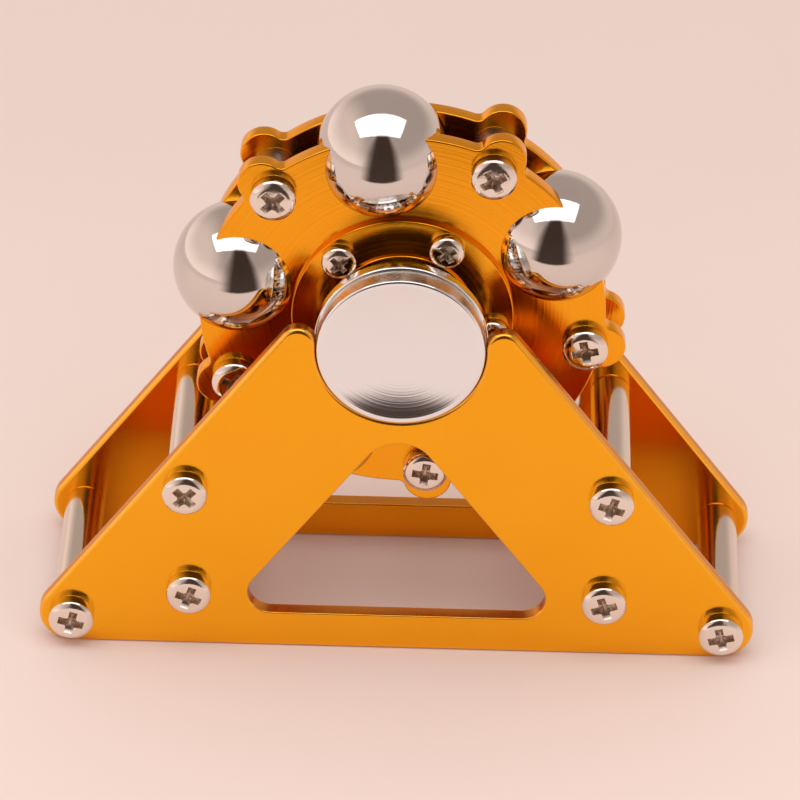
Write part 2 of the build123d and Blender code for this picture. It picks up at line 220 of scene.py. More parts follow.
class Skin:
    """One piece's surface, gathered patch by patch.

    Its places are front-view millimetres: x to the right, y up, z towards the viewer.
    """

    def __init__(self) -> None:
        """Start with no patches."""
        self.points: list[np.ndarray] = []
        self.faces: list[np.ndarray] = []
        self.smooth: list[bool] = []
        self.paint: list[int] = []
        self.wear_and_shade: list[np.ndarray] = []
        self.count = 0

    def add(
        self,
        points: np.ndarray,
        faces: np.ndarray,
        smooth: bool = True,
        paint: int = 0,
        wear_and_shade: float | np.ndarray = 0.0,
    ) -> None:
        """Add a patch.

        Args:
            points: (n, 3) places of its vertices.
            faces: (m, 3) or (m, 4) vertex numbers, counted within the patch.
            smooth: Whether its faces are shaded smooth.
            paint: Number of the material that its faces take.
            wear_and_shade: How worn each vertex is, and in a screw's recess how much painted shade it takes,
                from 0 to 1.
        """
        self.points.append(points)
        self.faces.append(faces + self.count)
        self.smooth.append(smooth)
        self.paint.append(paint)
        self.wear_and_shade.append(np.broadcast_to(np.asarray(wear_and_shade, float), (len(points),)))
        self.count += len(points)

    def lathe(self, profile: np.ndarray, columns: int, wear_and_shade: float | np.ndarray = 0.0) -> None:
        """Turn a profile about the z axis: (r, z) goes to (r cos a, r sin a, z) for every column's angle a.

        Args:
            profile: (n, 2) radii and heights, going round the piece so that its outside is on the right.
            columns: Number of columns.
            wear_and_shade: Wear of each profile point.
        """
        turn = np.linspace(0, 2 * pi, columns, endpoint=False)
        radius, height = profile[:, :1], profile[:, 1:]
        points = np.stack((radius * np.cos(turn), radius * np.sin(turn), height + 0 * turn), axis=-1)
        self.wall(points, wear_and_shade=wear_and_shade)

    def wall(self, rings: np.ndarray, paint: int = 0, wear_and_shade: float | np.ndarray = 0.0) -> None:
        """A wall between stacked rings of one outline: ring i is row i of the grid.

        Args:
            rings: (rows, columns, 3) places.
            paint: Number of the material.
            wear_and_shade: Wear of each row, and in a screw's recess its painted shade.
        """
        rows, columns = rings.shape[:2]
        rows_wear = np.repeat(np.broadcast_to(np.asarray(wear_and_shade, float), (rows,)), columns)
        self.add(rings.reshape(-1, 3), grid_faces(rows, columns), paint=paint, wear_and_shade=rows_wear)

    def hole(self, loop: np.ndarray, top: float, bottom: float, paint: int = 0) -> None:
        """The wall of a hole that goes straight through a sheet.

        Args:
            loop: The hole's outline, anticlockwise.
            top: Height of its upper end.
            bottom: Height of its lower end.
            paint: Number of the material.
        """
        self.wall(np.stack([at_height(loop, height) for height in (top, bottom)]), paint=paint)

    def flat(self, loops: list[np.ndarray], height: float, upwards: bool, paint: int = 0) -> None:
        """Fill a flat sheet between an outline and its holes with triangles.

        Args:
            loops: The closed outline and the holes, each (n, 2).
            height: The sheet's z.
            upwards: Whether it faces +z.
            paint: Number of the material.
        """
        corners = np.vstack(loops)
        edges, start = [], 0
        for loop in loops:
            numbers = start + np.arange(len(loop))
            edges += np.column_stack((numbers, np.roll(numbers, -1))).tolist()
            start += len(loop)
        filled = geometry.delaunay_2d_cdt([Vector(p) for p in corners.tolist()], edges, [], 1, 1e-7)
        flat_points = np.array([tuple(p) for p in filled[0]], float)
        triangles = np.array([face for face in filled[2] if len(face) == 3], int)
        a, b, c = (flat_points[triangles[:, k]] for k in range(3))
        triangles = triangles[inside((a + b + c) / 3, loops)]
        a, b, c = (flat_points[triangles[:, k]] for k in range(3))
        area = (b[:, 0] - a[:, 0]) * (c[:, 1] - a[:, 1]) - (b[:, 1] - a[:, 1]) * (c[:, 0] - a[:, 0])
        turned_up = (area > 0)[:, None] == upwards
        triangles = np.where(turned_up, triangles, triangles[:, ::-1])
        self.add(at_height(flat_points, height), triangles, smooth=False, paint=paint)

    def moved(self, x: float = 0.0, y: float = 0.0, z: float = 0.0, turn: float = 0.0) -> "Skin":
        """A copy turned about z by an angle in degrees and then moved.

        Args:
            x: Move to the right.
            y: Move up.
            z: Move towards the viewer.
            turn: Angle in degrees, anticlockwise.

        Returns:
            The new skin.
        """
        c, s = cos(radians(turn)), sin(radians(turn))
        spin = np.array([[c, s, 0], [-s, c, 0], [0, 0, 1]])
        copy = self.copied()
        copy.points = [p @ spin + (x, y, z) for p in self.points]
        return copy

    def mirrored(self) -> "Skin":
        """A copy mirrored to the back, z to -z, with its faces turned round so they still face outwards.

        Returns:
            The new skin.
        """
        copy = self.copied()
        copy.points = [p * (1, 1, -1) for p in self.points]
        copy.faces = [f[:, ::-1] for f in self.faces]
        return copy

    def copied(self) -> "Skin":
        """A copy of the patches.

        Returns:
            The new skin.
        """
        copy = Skin()
        copy.points, copy.faces = list(self.points), list(self.faces)
        copy.smooth, copy.paint, copy.wear_and_shade = list(self.smooth), list(self.paint), list(self.wear_and_shade)
        copy.count = self.count
        return copy

    def join(self, other: "Skin") -> None:
        """Take over the patches of another skin.

        Args:
            other: The skin to add, which stays as it is.
        """
        self.faces += [f + self.count for f in other.faces]
        self.points += other.points
        self.smooth += other.smooth
        self.paint += other.paint
        self.wear_and_shade += other.wear_and_shade
        self.count += other.count

    def build(self, name: str, materials: list[bpy.types.Material]) -> bpy.types.Object:
        """Make the Blender object, in the row's frame and in metres.

        A front-view place (x, y, z) goes to (x, -z, y). Doubles are merged, which closes seams and
        poles, and an edge between faces that lie further apart than SHARP_ANGLE is shaded sharp.

        Args:
            name: Name of the object.
            materials: One for each paint number used.

        Returns:
            The new object, linked to the scene.
        """
        points = np.vstack(self.points)
        places = np.column_stack((points[:, 0], -points[:, 2], points[:, 1])) * MM
        faces = [face for patch in self.faces for face in patch.tolist()]
        sizes = [len(patch) for patch in self.faces]
        mesh = bpy.data.meshes.new(name)
        mesh.from_pydata(places.tolist(), [], faces)
        mesh.polygons.foreach_set("use_smooth", np.repeat(self.smooth, sizes))
        mesh.polygons.foreach_set("material_index", np.repeat(self.paint, sizes))
        wear_and_shade = mesh.attributes.new("wear_and_shade", "FLOAT", "POINT")
        wear_and_shade.data.foreach_set("value", np.concatenate(self.wear_and_shade).astype(np.float32))
        for material in materials:
            mesh.materials.append(material)
        work = bmesh.new()
        work.from_mesh(mesh)
        bmesh.ops.remove_doubles(work, verts=work.verts, dist=MERGE_DISTANCE)
        bmesh.ops.dissolve_degenerate(work, edges=work.edges, dist=1e-8)
        for edge in work.edges:
            edge.smooth = len(edge.link_faces) == 2 and edge.calc_face_angle(0.0) < radians(SHARP_ANGLE)
        work.to_mesh(mesh)
        work.free()
        mesh.update()
        return add_object(name, mesh)


def dress(piece: bpy.types.Object, body: str, node: str) -> bpy.types.Object:
    """Seat a finished piece on its body and let it stand for its solid.

    Args:
        piece: The new object.
        body: The body it moves with.
        node: The solid that it stands for.

    Returns:
        The same object.
    """
    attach(piece, body)
    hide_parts(node)
    LOG.info("%s: %d faces on %s", piece.name, len(piece.data.polygons), body)
    return piece


def dress_pair(
    skin: Skin, materials: list[bpy.types.Material], name: str, body: str, node: str
) -> list[bpy.types.Object]:
    """Build a front piece and its mirror image at the back, and dress both.

    Args:
        skin: The front piece's skin.
        materials: One for each paint number used.
        name: Name of the pieces, with {} for front or back.
        body: The body they move with.
        node: The solids that they stand for, with {} for front or back.

    Returns:
        The front piece and the back piece.
    """
    sides = {"front": skin, "back": skin.mirrored()}
    return [
        dress(half.build(name.format(side), materials), body, node.format(side))
        for side, half in sides.items()
    ]


# ---------------------------------------------------------------- finishes
def linear(colour: str) -> tuple[float, float, float, float]:
    """The linear colour of an sRGB value.

    Args:
        colour: A hex value such as '#f2a93b'.

    Returns:
        Linear red, green and blue, and alpha 1.
    """
    values = [int(colour[k : k + 2], 16) / 255 for k in (1, 3, 5)]
    red, green, blue = (v / 12.92 if v <= 0.04045 else ((v + 0.055) / 1.055) ** 2.4 for v in values)
    return red, green, blue, 1.0


def blank_tree(owner: bpy.types.Material | bpy.types.World) -> bpy.types.NodeTree:
    """Switch on the nodes of a material or a world and clear them away.

    Args:
        owner: The material or the world.

    Returns:
        Its empty node tree.
    """
    owner.use_nodes = True
    owner.node_tree.nodes.clear()
    return owner.node_tree


def add_node(
    tree: bpy.types.NodeTree, kind: str, inputs: dict[str | int, object] | None = None, **settings: object
) -> bpy.types.Node:
    """Add a node to a tree.

    Args:
        tree: The node tree.
        kind: Blender's name of the node's type, after ShaderNode.
        inputs: What each named or numbered input gets: a value, a socket, or a node's first output.
        **settings: Values of the node's own properties.

    Returns:
        The new node.
    """
    node = tree.nodes.new(f"ShaderNode{kind}")
    for key, value in settings.items():
        setattr(node, key, value)
    for key, value in (inputs or {}).items():
        if isinstance(value, bpy.types.Node):
            value = value.outputs[0]
        if isinstance(value, bpy.types.NodeSocket):
            tree.links.new(value, node.inputs[key])
        else:
            node.inputs[key].default_value = value
    return node


class Grain(Enum):
    """How a surface was made, which sets the direction of its fine marks."""

    ROLLED = "rolled sheet, marks along the stand"
    TURNED = "turned on a lathe, marks round the wheel's axis"
    GROUND = "ground round a bar, marks across its length"
    TUMBLED = "barrel-plated, no direction"
    SHEARED = "cut edge, marks through the sheet's thickness"


@dataclass(frozen=True)
class Finish:
    """A metal finish.

    The worn colour is the colour where the wear value is 1: a rubbed edge, or painted shade deep in a screw's
    recess; patch_mm is the size of the patches in which it comes and goes.
    the size of the patches in which wear comes and goes.
    roughness goes from the first to the second value with the marks, which are mark_mm apart and
    bump times that deep. swell is the depth of the surface's soft waves over their length, swell_mm.
    """

    name: str
    colour: str
    second: str
    roughness: tuple[float, float]
    grain: Grain
    mark_mm: float
    bump: float
    worn_and_shaded: str = "#8a7f76"
    worn_roughness: float = 0.35
    patch_mm: float = 1.6
    drift_mm: float = 12.0
    swell: float = 0.0
    swell_mm: float = 9.0

    def marks(self, tree: bpy.types.NodeTree) -> bpy.types.NodeSocket:
        """The pattern of fine marks, about 0.5 on average.

        Turned marks are noise along (distance from the wheel's axis + y) / mark size, so they are
        rings on a face and round a bar. The others are noise on stretched coordinates.

        Args:
            tree: The material's node tree.

        Returns:
            The socket that carries the pattern.
        """
        place = add_node(tree, "TexCoord").outputs["Object"]
        per_metre = 1 / (self.mark_mm * MM)
        if self.grain is Grain.TURNED:
            parts = add_node(tree, "SeparateXYZ", {0: place})
            axis = AXIS_HEIGHT * MM
            height = add_node(tree, "Math", {0: parts.outputs["Z"], 1: axis}, operation="SUBTRACT")
            across = add_node(tree, "CombineXYZ", {"X": parts.outputs["X"], "Y": height})
            radius = add_node(tree, "VectorMath", {0: across}, operation="LENGTH").outputs["Value"]
            rings = add_node(tree, "Math", {0: radius, 1: per_metre}, operation="MULTIPLY")
            along = add_node(
                tree, "Math", {0: parts.outputs["Y"], 1: per_metre, 2: rings}, operation="MULTIPLY_ADD"
            )
            noise = add_node(
                tree, "TexNoise", {"W": along, "Scale": 1.0, "Detail": 3.0, "Roughness": 0.6},
                noise_dimensions="1D",
            )
            return noise.outputs[0]
        # A small factor draws the marks out along that axis.
        stretch = {
            Grain.ROLLED: (0.04, 1.0, 1.0),
            Grain.GROUND: (0.05, 1.0, 0.05),
            Grain.TUMBLED: (1.0, 1.0, 1.0),
            Grain.SHEARED: (1.0, 0.08, 1.0),
        }[self.grain]
        scale = tuple(per_metre * factor for factor in stretch)
        mapping = add_node(tree, "Mapping", {"Vector": place, "Scale": scale})
        noise = add_node(
            tree, "TexNoise", {"Vector": mapping, "Scale": 1.0, "Detail": 3.0, "Roughness": 0.55}
        )
        return noise.outputs[0]

    def material(self) -> bpy.types.Material:
        """Build the material.

        Returns:
            A procedural metal with drifting tone, worn places, painted shade in screw recesses, fine marks
            and a soft swell.
        """
        material = bpy.data.materials.new(self.name)
        tree = blank_tree(material)
        place = add_node(tree, "TexCoord").outputs["Object"]
        marks = self.marks(tree)
        drift = add_node(
            tree, "TexNoise",
            {"Vector": place, "Scale": 1 / (self.drift_mm * MM), "Detail": 2.0, "Roughness": 0.5},
        )
        tone = add_node(
            tree, "Mix", {"Factor": drift, COLOUR_A: linear(self.colour), COLOUR_B: linear(self.second)},
            data_type="RGBA",
        )
        # Wear, and the painted shade in screw recesses, is uneven: in soft patches it goes down to about half
        # of what the mesh says.
        wear_and_shade = add_node(tree, "Attribute", attribute_name="wear_and_shade")
        patchy = add_node(
            tree, "TexNoise",
            {"Vector": place, "Scale": 1 / (self.patch_mm * MM), "Detail": 3.0, "Roughness": 0.65},
        )
        patches = add_node(
            tree, "MapRange",
            {"Value": patchy, "From Min": 0.35, "From Max": 0.65, "To Min": 0.55, "To Max": 1.0},
            interpolation_type="SMOOTHSTEP",
        )
        worn_and_shaded = add_node(
            tree, "Math", {0: wear_and_shade.outputs["Fac"], 1: patches}, operation="MULTIPLY", use_clamp=True
        )
        colour = add_node(
            tree, "Mix",
            {"Factor": worn_and_shaded, COLOUR_A: tone.outputs[COLOUR_OUT], COLOUR_B: linear(self.worn_and_shaded)},
            data_type="RGBA",
        )
        # Nearly all of the marks' noise lies between 0.3 and 0.7.
        smoothest, roughest = self.roughness
        rough = add_node(
            tree, "MapRange",
            {"Value": marks, "From Min": 0.3, "From Max": 0.7, "To Min": smoothest, "To Max": roughest},
        )
        roughness = add_node(
            tree, "Mix", {"Factor": worn_and_shaded, VALUE_A: rough, VALUE_B: self.worn_roughness}, data_type="FLOAT"
        )
        normal = add_node(
            tree, "Bump", {"Height": marks, "Strength": 1.0, "Distance": self.bump * self.mark_mm * MM}
        )
        if self.swell > 0:
            waves = add_node(
                tree, "TexNoise",
                {"Vector": place, "Scale": 1 / (self.swell_mm * MM), "Detail": 1.0, "Roughness": 0.4},
            )
            depth = self.swell * self.swell_mm * MM
            normal = add_node(
                tree, "Bump", {"Height": waves, "Strength": 1.0, "Distance": depth, "Normal": normal}
            )
        shader = add_node(
            tree, "BsdfPrincipled",
            {
                "Base Color": colour.outputs[COLOUR_OUT],
                "Metallic": 1.0,
                "Roughness": roughness,
                "Normal": normal,
            },
        )
        add_node(tree, "OutputMaterial", {"Surface": shader})
        return material


# Sheet aluminium, polished, dyed gold-orange and sealed: mirrors softly, with faint rolling marks.
ANODISED_SHEET = Finish(
    name="anodised_gold_sheet", colour="#ffb62a", second="#fbae23", roughness=(0.13, 0.19),
    grain=Grain.ROLLED, mark_mm=0.16, bump=0.012, worn_and_shaded="#ffc257", worn_roughness=0.22, swell=0.004,
)
# The faces that look at each other across the stand: the same sheet painted deeper and redder, as painted
# shade between the plates.
ANODISED_INNER_SHADED = replace(
    ANODISED_SHEET, name="anodised_gold_inner_painted_shade", colour="#ffa61f", second="#fb9f1a",
)
# The sheared and anodised edge of the same sheet: duller, redder and scored through its thickness.
ANODISED_EDGE = Finish(
    name="anodised_gold_cut_edge", colour="#e8962f", second="#d3812a", roughness=(0.26, 0.38),
    grain=Grain.SHEARED, mark_mm=0.22, bump=0.03, worn_and_shaded="#ffc257", worn_roughness=0.25, drift_mm=5.0,
)
# The wheel's plates and hub covers: milled and faced on a lathe before the dye, so faint rings show.
ANODISED_TURNED = Finish(
    name="anodised_gold_turned", colour="#ffb129", second="#f9a41f", roughness=(0.14, 0.22),
    grain=Grain.TURNED, mark_mm=0.35, bump=0.02, worn_and_shaded="#ffd083", worn_roughness=0.25,
)
# Nickel over a turned bar: bright and a little warm, with a soft grind round it.
POLISHED_NICKEL = Finish(
    name="polished_nickel_bar", colour="#ece2d5", second="#e2d6c7", roughness=(0.12, 0.2),
    grain=Grain.GROUND, mark_mm=0.3, bump=0.006, worn_and_shaded="#b9a894", worn_roughness=0.3,
)
# Barrel-plated screws: warm nickel, tumbled edges, and a dull brownish tone painted into the recess as shade.
NICKEL_SCREW = Finish(
    name="nickel_plated_screw", colour="#f1e8df", second="#e8ddd2", roughness=(0.08, 0.15),
    grain=Grain.TUMBLED, mark_mm=0.5, bump=0.02, worn_and_shaded="#a3886e", worn_roughness=0.42, drift_mm=3.0,
)
# Turned and polished caps: near mirror, with fine lathe rings that shimmer where the dish rises. Their
# round sides are worn to satin by fingers and by the notches.
TURNED_CAP = Finish(
    name="polished_turned_cap", colour="#f1f4f6", second="#eaeef1", roughness=(0.05, 0.11),
    grain=Grain.TURNED, mark_mm=0.22, bump=0.02, worn_and_shaded="#e6d9cd", worn_roughness=0.36,
)
# Through-hardened bearing steel balls, lapped to a mirror.
LAPPED_STEEL = Finish(
    name="lapped_steel_ball", colour="#dfdad5", second="#d6d0ca", roughness=(0.025, 0.06),
    grain=Grain.TUMBLED, mark_mm=0.8, bump=0.003, drift_mm=6.0,
)
# Turned steel inside the wheel: greyer, with plain tool rings.
TURNED_STEEL = Finish(
    name="turned_steel", colour="#b9b4ae", second="#a49e97", roughness=(0.22, 0.36),
    grain=Grain.TURNED, mark_mm=0.3, bump=0.06,
)
# Ground bearing rings, shields and small balls.
BEARING_STEEL = Finish(
    name="ground_bearing_steel", colour="#c6c5c4", second="#b6b4b2", roughness=(0.12, 0.22),
    grain=Grain.TURNED, mark_mm=0.2, bump=0.03,
)
# Black-oxide alloy steel, slightly oily.
BLACK_OXIDE = Finish(
    name="black_oxide_steel", colour="#2a2826", second="#1f1d1c", roughness=(0.3, 0.42),
    grain=Grain.TUMBLED, mark_mm=0.3, bump=0.05,
)
# Plain machined brass.
MACHINED_BRASS = Finish(
    name="machined_brass", colour="#d8b168", second="#c89f58", roughness=(0.2, 0.32),
    grain=Grain.TURNED, mark_mm=0.25, bump=0.05,
)


# ---------------------------------------------------------------- fasteners
# A ring's last value is its wear, which in a screw's recess is painted shade.
Ring = tuple[np.ndarray, np.ndarray, float]  # radius and height at each column, and the wear


@dataclass(frozen=True)
class PanScrew:
    """A cross-recess pan head screw. All sizes in millimetres, seat at z = 0, head towards +z.

    recess_steps are rings of the recess, from its floor up: the share of the cross's radius, the
    share of the recess's depth, and the painted shade that darkens the recess, from 0 to 1.
    """

    thread_radius: float
    pitch: float
    length: float
    head_radius: float
    head_height: float
    recess_length: float
    recess_width: float
    recess_depth: float
    recess_web: float = 0.85  # radius at the cross's inner corners over the arms' width
    recess_margin: float = 0.1  # from the recess to the first ring on the clean head
    # Painted shade is strongest at the recess's floor and fades towards its mouth.
    recess_steps: tuple[tuple[float, float, float], ...] = (
        (0.0, 1.0, 1.0),
        (0.28, 0.93, 1.0),
        (0.55, 0.8, 0.95),
        (0.82, 0.55, 0.7),
        (0.92, 0.25, 0.5),
    )
    crown: float = 0.12  # how much the head's middle would stand above its rim, without the dome
    flat_share: float = 0.655  # radius of the head's nearly flat middle over the head's radius
    dome_slope: float = 52.0  # slope in degrees that the dome reaches at its edge
    edge_round: float = 0.14
    ridge_share: float = 0.54  # depth of the thread over its pitch
    tip_break: float = 0.3

    def recess_radius(self, turn: np.ndarray) -> np.ndarray:
        """The cross's outline in polar form.

        An arm along x holds |x| < length / 2 and |y| < width / 2, so its radius at angle a is the
        smaller of length / 2 / |cos a| and width / 2 / |sin a|; the cross is the larger of its two
        arms, and its inner corners are filled to the web's radius.

        Args:
            turn: Angles in radians.

        Returns:
            The radius at each angle.
        """
        c, s = np.maximum(np.abs(np.cos(turn)), 1e-9), np.maximum(np.abs(np.sin(turn)), 1e-9)
        long_half, wide_half = self.recess_length / 2, self.recess_width / 2
        along_x = np.minimum(long_half / c, wide_half / s)
        along_y = np.minimum(long_half / s, wide_half / c)
        return np.maximum(np.maximum(along_x, along_y), self.recess_web * self.recess_width)

    def columns(self) -> np.ndarray:
        """Angles of the columns, close together at the cross's corners.

        Returns:
            Angles in radians, rising through one full turn.
        """
        tip = degrees(atan2(self.recess_width, self.recess_length))
        near_tip = [tip * share for share in (0, 0.5, 0.85, 1.0, 1.15, 1.5, 2.0)]
        near_corner = [tip + (45 - tip) * share for share in (0.45, 0.7, 0.9, 1.0)]
        eighth = np.sort(near_tip + near_corner)
        quarter = np.concatenate((eighth, 90 - eighth[-2:0:-1]))
        return np.radians(np.concatenate([quarter + 90 * number for number in range(4)]))

    def crowned(self, radius: np.ndarray) -> np.ndarray:
        """Height of the head's top: head height - crown * (radius / head radius) squared."""
        return self.head_height - self.crown * (radius / self.head_radius) ** 2

    def recess_rings(self, cross: np.ndarray) -> list[Ring]:
        """Rings up the recess: scaled copies of its outline, then the broken edge of its mouth.

        Args:
            cross: Radius of the recess's outline at each column.

        Returns:
            The rings, from the recess's floor outwards.
        """
        one = np.ones_like(cross)
        rings = [
            (share * cross, (self.head_height - sunk * self.recess_depth) * one, painted_shade)
            for share, sunk, painted_shade in self.recess_steps
        ]
        # The broken edge: share of the cross's radius, millimetres below the head's top, and the painted
        # shade.
        for share, below, painted_shade in ((0.985, 0.05, 0.3), (1.0, 0.012, 0.1)):
            rings.append((share * cross, self.crowned(cross) - below, painted_shade))
        for outside in (0.04, self.recess_margin):
            rings.append((cross + outside, self.crowned(cross + outside), 0.0))
        return rings

    def head_rings(self, cross: np.ndarray) -> list[Ring]:
        """Rings over the head: the crown, the dome as an arc of growing slope, its round edge, the seat.

        Args:
            cross: Radius of the recess's outline at each column.

        Returns:
            The rings, from the recess's mouth to the thread.
        """
        one = np.ones_like(cross)
        mouth = cross + self.recess_margin
        flat_end = self.head_radius * self.flat_share
        rings = []
        for share in (0.5, 1.0):
            radius = mouth + (flat_end - mouth) * share
            rings.append((radius, self.crowned(radius), 0.0))
        slope = radians(self.dome_slope)
        dome_end = self.head_radius - self.edge_round * (1 - sin(slope))
        dome = (dome_end - flat_end) / sin(slope)
        for angle in slope * np.linspace(0.1, 1, 10):
            radius = (flat_end + dome * sin(angle)) * one
            rings.append((radius, self.crowned(radius) - dome * (1 - cos(angle)), 0.0))
        centre = rings[-1][1][0] - self.edge_round * cos(slope)
        for angle in np.linspace(slope, pi / 2, 5)[1:]:
            radius = self.head_radius - self.edge_round * (1 - sin(angle))
            rings.append((radius * one, (centre + self.edge_round * cos(angle)) * one, 0.0))
        # The lower edge is broken by a tenth of a millimetre where the head meets its seat.
        for inwards, height in ((0.0, 0.1), (0.02, 0.04), (0.08, 0.0)):
            rings.append(((self.head_radius - inwards) * one, height * one, 0.0))
        rings.append((self.thread_radius * one, 0 * one, 0.0))
        return rings

    def thread_rings(self, turn: np.ndarray) -> list[Ring]:
        """Rings down the thread: radius = root + ridge.

        The ridge rises and falls linearly with (z / pitch - angle / full turn), which is a helix.

        Args:
            turn: Angles of the columns in radians.

        Returns:
            The rings, from the seat to the tip.
        """
        one = np.ones_like(turn)
        ridge_depth = self.ridge_share * self.pitch
        root = self.thread_radius - ridge_depth
        rings = []
        for height in np.arange(-0.1, self.tip_break - self.length, -self.pitch / 4):
            phase = (height / self.pitch - turn / (2 * pi)) % 1
            rings.append((self.thread_radius - ridge_depth * np.abs(2 * phase - 1), height * one, 0.0))
        rings.append((root * one, (self.tip_break / 2 - self.length) * one, 0.0))
        rings.append((0.6 * root * one, -self.length * one, 0.0))
        rings.append((0 * one, -self.length * one, 0.0))
        return rings

    def skin(self) -> Skin:
        """The whole screw as one grid of rings by columns, from the tip up.

        Returns:
            The screw's skin.
        """
        turn = self.columns()
        cross = self.recess_radius(turn)
        rings = self.recess_rings(cross) + self.head_rings(cross) + self.thread_rings(turn)
        radius, height, wear_and_shade = (np.array(values) for values in zip(*rings[::-1]))
        skin = Skin()
        skin.wall(np.stack((radius * np.cos(turn), radius * np.sin(turn), height), axis=-1), wear_and_shade=wear_and_shade)
        return skin


# Metric three screws of the stand; the wheel has shorter ones, and metric two at the hub.
STAND_SCREW = PanScrew(
    thread_radius=1.5, pitch=0.5, length=6.0, head_radius=2.75, head_height=1.95,
    recess_length=3.2, recess_width=1.0, recess_depth=1.0,
)
POST_SCREW = replace(STAND_SCREW, length=4.0)
HUB_SCREW = PanScrew(
    thread_radius=1.0, pitch=0.4, length=4.8, head_radius=2.1, head_height=1.6,
    recess_length=2.3, recess_width=0.7, recess_depth=0.8, tip_break=0.2,
)


# ---------------------------------------------------------------- stand
@dataclass
class Stand:
    """The two sheet plates, the six spacers between them and the twelve screws. All sizes in millimetres."""

    plate_inner: float = 11.0  # from the middle to the plates' inner faces
    plate_thickness: float = 2.0
    edge_round: float = 0.5
    edge_wear: float = 0.8  # along the middle of the rounds
    window_round: float = 0.2
    foot_spread: float = 40.0  # from the middle to the foot circles' centres
    foot_radius: float = 4.0
    horn_rise: float = 2.7  # of the horns' tops above the axis
    horn_radius: float = 2.14
    seat_radius: float = 10.2
    limb_width: float = 18.45  # from the slanted side to the window
    window_floor: float = 5.0
    window_corner: float = 3.0
    window_peak: float = 4.6
    hole_radius: float = 1.6
    spacer_radius: float = 2.5
    spacer_round: float = 0.25
    bore_radius: float = 1.53
    bore_depth: float = 5.0
    bore_cone: float = 0.8
    upper_height: float = 23.0
    inner_place: tuple[float, float] = (25.5, 8.2)
    recess_turns: tuple[float, ...] = (-15, 14, 45, -17, -20, 18)
    screw: PanScrew = STAND_SCREW

    def slope(self) -> float:
        """Angle of the slanted side from the ground: the outer tangent of foot and horn circles.

        Returns:
            The angle in degrees.
        """
        across = self.foot_spread - self.seat_radius - self.horn_radius
        up = AXIS_HEIGHT + self.horn_rise - self.horn_radius - self.foot_radius
        return degrees(atan2(up, across) + asin((self.horn_radius - self.foot_radius) / hypot(across, up)))

    def side_offset(self) -> float:
        """Distance of the slanted side's line from the origin, along its outward normal.

        Returns:
            The distance.
        """
        s = radians(self.slope())
        return sin(s) * self.foot_spread + cos(s) * self.foot_radius + self.foot_radius

    def outline(self, inset: float) -> np.ndarray:
        """The plate's outline, moved into the metal by an inset.

        The right half goes round the foot, up the slanted side, over the horn and down the
        half-round notch; the left half is the same points with x turned to -x, in the other order.

        Args:
            inset: Distance into the metal.

        Returns:
            A closed loop of (n, 2) points, anticlockwise.
        """
        side = 90 - self.slope()
        horn = (self.seat_radius + self.horn_radius, AXIS_HEIGHT + self.horn_rise - self.horn_radius)
        right = np.vstack(
            (
                arc((self.foot_spread, self.foot_radius), self.foot_radius - inset, -90, side, 28),
                arc(horn, self.horn_radius - inset, side, 180, 28),
                arc((0, AXIS_HEIGHT), self.seat_radius + inset, 0, -90, 40),
            )
        )
        left = right[::-1][1:] * (-1, 1)
        return np.vstack((right, left))

    def window(self, inset: float) -> np.ndarray:
        """The window's outline, moved into the metal by an inset.

        Args:
            inset: Distance into the metal, outwards from the window's middle.

        Returns:
            A closed loop of (n, 2) points, anticlockwise.
        """
        slope = radians(self.slope())
        side = 90 - self.slope()
        offset = self.side_offset() - self.limb_width
        corner_y = self.window_floor + self.window_corner
        corner_x = (offset - self.window_corner - cos(slope) * corner_y) / sin(slope)
        peak_y = (offset - self.window_peak) / cos(slope)
        right = np.vstack(
            (
                arc((corner_x, corner_y), self.window_corner + inset, -90, side, 24),
                arc((0, peak_y), self.window_peak + inset, side, 90, 20),
            )
        )
        left = right[::-1][1:] * (-1, 1)
        return np.vstack((right, left))

    def spacer_centres(self) -> list[tuple[str, float, float]]:
        """Places of the spacers.

        Returns:
            Name, x and y of each, in the order of the recess turns.
        """
        slope = radians(self.slope())
        upper_x = (self.side_offset() - self.foot_radius - cos(slope) * self.upper_height) / sin(slope)
        rows = {
            "outer": (self.foot_spread, self.foot_radius),
            "upper": (upper_x, self.upper_height),
            "inner": self.inner_place,
        }
        return [
            (f"spacer_{row}_{hand}", sign * x, y)
            for row, (x, y) in rows.items()
            for hand, sign in (("left", -1), ("right", 1))
        ]

    def plate(self) -> Skin:
        """The front plate: flat faces, walls with rounded edges round the outline and the window, and holes.

        Returns:
            The plate's skin, with the cut walls in paint 1 and the inner face, painted deeper and redder as
            shade, in paint 2.
        """
        inner, outer = self.plate_inner, self.plate_inner + self.plate_thickness
        points = 7  # on each round
        worn_and_shaded = self.edge_wear * np.sin(2 * np.radians(np.linspace(0, 90, points)))
        skin = Skin()
        # The outline is walked clockwise, so that both walls face out of the metal.
        for outline, edge_round, way in (
            (self.outline, self.edge_round, -1), (self.window, self.window_round, 1),
        ):
            edge = zip(*rounded_edge(outer, inner, edge_round, points))
            rings = np.stack([at_height(outline(inset), height) for inset, height in edge])[:, ::way]
            skin.wall(rings[:points], wear_and_shade=worn_and_shaded)
            skin.wall(rings[points - 1 : points + 1], paint=1)
            skin.wall(rings[points:], wear_and_shade=worn_and_shaded[::-1])
        holes = [circle((x, y), self.hole_radius, HOLE_POINTS) for _, x, y in self.spacer_centres()]
        for hole in holes:
            skin.hole(hole, outer, inner, paint=1)
        loops = [self.outline(self.edge_round), self.window(self.window_round), *holes]
        skin.flat(loops, outer, upwards=True)
        # The inner face takes the sheet painted deeper and redder, as painted shade between the plates.
        skin.flat(loops, inner, upwards=False, paint=2)
        return skin

